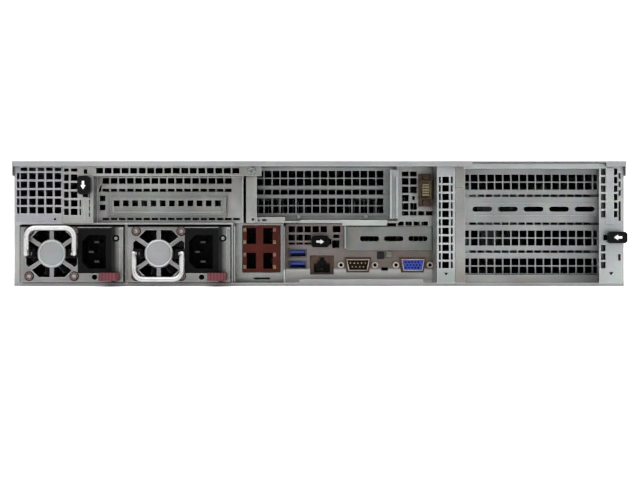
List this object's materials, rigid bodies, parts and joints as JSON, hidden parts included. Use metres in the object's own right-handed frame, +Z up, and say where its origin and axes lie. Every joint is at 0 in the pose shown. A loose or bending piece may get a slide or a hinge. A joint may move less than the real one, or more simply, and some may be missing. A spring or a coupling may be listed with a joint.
{
  "type": "2u rack server",
  "caption": "Shallow steel rack chassis with perforated rear brackets, pull-out power supplies, recessed sockets and card slots, and lever-fronted drive carriers in front.",
  "frame": {"origin": "centre of the chassis underside", "axes": "+X to the right seen from the rear, +Y from the rear face towards the drive bays and ear handles, +Z up"},
  "size_m": [0.4826, 0.7679, 0.0898],
  "materials": {
    "zinc_steel": "zinc-plated sheet, fine spangle",
    "blank_steel": "zinc-plated blanking sheet",
    "psu_steel": "zinc-plated sheet",
    "white_wire": "light powder coat",
    "black_plastic": "fine texture",
    "dark_plastic": "fine texture",
    "red_plastic": "moulded, translucent edge",
    "connector_steel": "nickel-plated shell",
    "copper_shield": "copper-coloured shield",
    "board_green": "solder mask",
    "aluminium_fin": "extruded",
    "ear_steel": "dark powder coat",
    "cover_steel": "zinc-plated cover sheet",
    "screw_steel": "zinc-plated screw",
    "lamp_plastic": "button cap"
  },
  "bodies": {
    "chassis": {"chassis_tray": "zinc_steel", "front_cover": "cover_steel", "psu_cage": "zinc_steel", "corner_vent_panel": "zinc_steel", "left_slot_bracket": "zinc_steel", "middle_slot_bracket": "zinc_steel", "rear_posts": "zinc_steel", "right_slot_bracket": "zinc_steel", "slot_blanks": "blank_steel", "io_panel": "zinc_steel", "usb_lan_ports": "connector_steel", "indicator_lamps": "lamp_plastic", "dsub_ports": "connector_steel", "quad_lan_module": "copper_shield", "drive_cage": "zinc_steel", "drive_backplane": "board_green", "front_strip": "ear_steel", "rack_ears": "ear_steel", "fan_wall": "black_plastic", "motherboard": "board_green", "heatsinks": "aluminium_fin", "memory_modules": "board_green", "air_shroud": "dark_plastic", "riser_cards": "board_green", "power_board": "board_green", "screws": "screw_steel"},
    "top_cover": {"top_cover": "cover_steel"},
    "cover_button": {"cover_button": "dark_plastic"},
    "id_button": {"id_button": "lamp_plastic"},
    "left_latch": {"left_latch": "black_plastic"},
    "middle_latch": {"middle_latch": "black_plastic"},
    "right_latch": {"right_latch": "black_plastic"},
    "power_button": {"power_button": "lamp_plastic"},
    "left_psu": {"left_psu": "psu_steel"},
    "left_psu_fan": {"left_psu_fan": "black_plastic"},
    "left_psu_handle": {"left_psu_handle": "white_wire"},
    "left_psu_release": {"left_psu_release": "red_plastic"},
    "right_psu": {"right_psu": "psu_steel"},
    "right_psu_fan": {"right_psu_fan": "black_plastic"},
    "right_psu_handle": {"right_psu_handle": "white_wire"},
    "right_psu_release": {"right_psu_release": "red_plastic"},
    "fan_rotor_1": {"fan_rotor_1": "black_plastic"},
    "fan_rotor_2": {"fan_rotor_2": "black_plastic"},
    "fan_rotor_3": {"fan_rotor_3": "black_plastic"},
    "drive_carrier_1": {"drive_carrier_1": "dark_plastic"},
    "drive_carrier_2": {"drive_carrier_2": "dark_plastic"},
    "drive_carrier_3": {"drive_carrier_3": "dark_plastic"},
    "drive_carrier_4": {"drive_carrier_4": "dark_plastic"},
    "drive_carrier_5": {"drive_carrier_5": "dark_plastic"},
    "drive_carrier_6": {"drive_carrier_6": "dark_plastic"},
    "drive_carrier_7": {"drive_carrier_7": "dark_plastic"},
    "drive_carrier_8": {"drive_carrier_8": "dark_plastic"},
    "carrier_lever_1": {"carrier_lever_1": "dark_plastic"},
    "carrier_lever_2": {"carrier_lever_2": "dark_plastic"},
    "carrier_lever_3": {"carrier_lever_3": "dark_plastic"},
    "carrier_lever_4": {"carrier_lever_4": "dark_plastic"},
    "carrier_lever_5": {"carrier_lever_5": "dark_plastic"},
    "carrier_lever_6": {"carrier_lever_6": "dark_plastic"},
    "carrier_lever_7": {"carrier_lever_7": "dark_plastic"},
    "carrier_lever_8": {"carrier_lever_8": "dark_plastic"}
  },
  "joints": [
    {"name": "cover_lift", "type": "slide", "parent": "chassis", "child": "top_cover", "axis": [0, 0, 1], "range_m": [0, 0.15]},
    {"name": "cover_button_press", "type": "slide", "parent": "top_cover", "child": "cover_button", "axis": [0, 0, -1], "range_m": [0, 0.002], "stiffness_N_per_m": 500},
    {"name": "left_psu_slide", "type": "slide", "parent": "chassis", "child": "left_psu", "axis": [0, -1, 0], "range_m": [0, 0.203]},
    {"name": "left_psu_fan_spin", "type": "hinge", "parent": "left_psu", "child": "left_psu_fan", "pos_m": [-0.1901, -0.354, 0.0231], "axis": [0, 1, 0], "continuous": true},
    {"name": "left_psu_handle_fold", "type": "hinge", "parent": "left_psu", "child": "left_psu_handle", "pos_m": [-0.1901, -0.3673, 0.0231], "axis": [1, 0, 0], "range_deg": [0, 180]},
    {"name": "left_psu_release_press", "type": "slide", "parent": "left_psu", "child": "left_psu_release", "axis": [-1, 0, 0], "range_m": [0, 0.0035], "stiffness_N_per_m": 800},
    {"name": "right_psu_slide", "type": "slide", "parent": "chassis", "child": "right_psu", "axis": [0, -1, 0], "range_m": [0, 0.203]},
    {"name": "right_psu_fan_spin", "type": "hinge", "parent": "right_psu", "child": "right_psu_fan", "pos_m": [-0.114, -0.354, 0.0231], "axis": [0, 1, 0], "continuous": true},
    {"name": "right_psu_handle_fold", "type": "hinge", "parent": "right_psu", "child": "right_psu_handle", "pos_m": [-0.114, -0.3673, 0.0231], "axis": [1, 0, 0], "range_deg": [-180, 0]},
    {"name": "right_psu_release_press", "type": "slide", "parent": "right_psu", "child": "right_psu_release", "axis": [-1, 0, 0], "range_m": [0, 0.0035], "stiffness_N_per_m": 800},
    {"name": "left_latch_slide", "type": "slide", "parent": "chassis", "child": "left_latch", "axis": [0, 0, -1], "range_m": [0, 0.005], "stiffness_N_per_m": 300},
    {"name": "middle_latch_slide", "type": "slide", "parent": "chassis", "child": "middle_latch", "axis": [1, 0, 0], "range_m": [0, 0.005], "stiffness_N_per_m": 300},
    {"name": "right_latch_slide", "type": "slide", "parent": "chassis", "child": "right_latch", "axis": [-1, 0, 0], "range_m": [0, 0.005], "stiffness_N_per_m": 300},
    {"name": "id_button_press", "type": "slide", "parent": "chassis", "child": "id_button", "axis": [0, 1, 0], "range_m": [0, 0.001], "stiffness_N_per_m": 600},
    {"name": "power_button_press", "type": "slide", "parent": "chassis", "child": "power_button", "axis": [0, -1, 0], "range_m": [0, 0.0015], "stiffness_N_per_m": 600},
    {"name": "fan_1_spin", "type": "hinge", "parent": "chassis", "child": "fan_rotor_1", "pos_m": [-0.142, 0.1205, 0.0426], "axis": [0, 1, 0], "continuous": true},
    {"name": "fan_2_spin", "type": "hinge", "parent": "chassis", "child": "fan_rotor_2", "pos_m": [0, 0.1205, 0.0426], "axis": [0, 1, 0], "continuous": true},
    {"name": "fan_3_spin", "type": "hinge", "parent": "chassis", "child": "fan_rotor_3", "pos_m": [0.142, 0.1205, 0.0426], "axis": [0, 1, 0], "continuous": true},
    {"name": "drive_1_slide", "type": "slide", "parent": "chassis", "child": "drive_carrier_1", "axis": [0, 1, 0], "range_m": [0, 0.165]},
    {"name": "lever_1_swing", "type": "hinge", "parent": "drive_carrier_1", "child": "carrier_lever_1", "pos_m": [-0.1125, 0.3591, 0.0159], "axis": [0, 0, -1], "range_deg": [0, 75]},
    {"name": "drive_2_slide", "type": "slide", "parent": "chassis", "child": "drive_carrier_2", "axis": [0, 1, 0], "range_m": [0, 0.165]},
    {"name": "lever_2_swing", "type": "hinge", "parent": "drive_carrier_2", "child": "carrier_lever_2", "pos_m": [-0.0053, 0.3591, 0.0159], "axis": [0, 0, -1], "range_deg": [0, 75]},
    {"name": "drive_3_slide", "type": "slide", "parent": "chassis", "child": "drive_carrier_3", "axis": [0, 1, 0], "range_m": [0, 0.165]},
    {"name": "lever_3_swing", "type": "hinge", "parent": "drive_carrier_3", "child": "carrier_lever_3", "pos_m": [0.1019, 0.3591, 0.0159], "axis": [0, 0, -1], "range_deg": [0, 75]},
    {"name": "drive_4_slide", "type": "slide", "parent": "chassis", "child": "drive_carrier_4", "axis": [0, 1, 0], "range_m": [0, 0.165]},
    {"name": "lever_4_swing", "type": "hinge", "parent": "drive_carrier_4", "child": "carrier_lever_4", "pos_m": [0.2091, 0.3591, 0.0159], "axis": [0, 0, -1], "range_deg": [0, 75]},
    {"name": "drive_5_slide", "type": "slide", "parent": "chassis", "child": "drive_carrier_5", "axis": [0, 1, 0], "range_m": [0, 0.165]},
    {"name": "lever_5_swing", "type": "hinge", "parent": "drive_carrier_5", "child": "carrier_lever_5", "pos_m": [-0.1125, 0.3591, 0.0439], "axis": [0, 0, -1], "range_deg": [0, 75]},
    {"name": "drive_6_slide", "type": "slide", "parent": "chassis", "child": "drive_carrier_6", "axis": [0, 1, 0], "range_m": [0, 0.165]},
    {"name": "lever_6_swing", "type": "hinge", "parent": "drive_carrier_6", "child": "carrier_lever_6", "pos_m": [-0.0053, 0.3591, 0.0439], "axis": [0, 0, -1], "range_deg": [0, 75]},
    {"name": "drive_7_slide", "type": "slide", "parent": "chassis", "child": "drive_carrier_7", "axis": [0, 1, 0], "range_m": [0, 0.165]},
    {"name": "lever_7_swing", "type": "hinge", "parent": "drive_carrier_7", "child": "carrier_lever_7", "pos_m": [0.1019, 0.3591, 0.0439], "axis": [0, 0, -1], "range_deg": [0, 75]},
    {"name": "drive_8_slide", "type": "slide", "parent": "chassis", "child": "drive_carrier_8", "axis": [0, 1, 0], "range_m": [0, 0.165]},
    {"name": "lever_8_swing", "type": "hinge", "parent": "drive_carrier_8", "child": "carrier_lever_8", "pos_m": [0.2091, 0.3591, 0.0439], "axis": [0, 0, -1], "range_deg": [0, 75]}
  ]
}
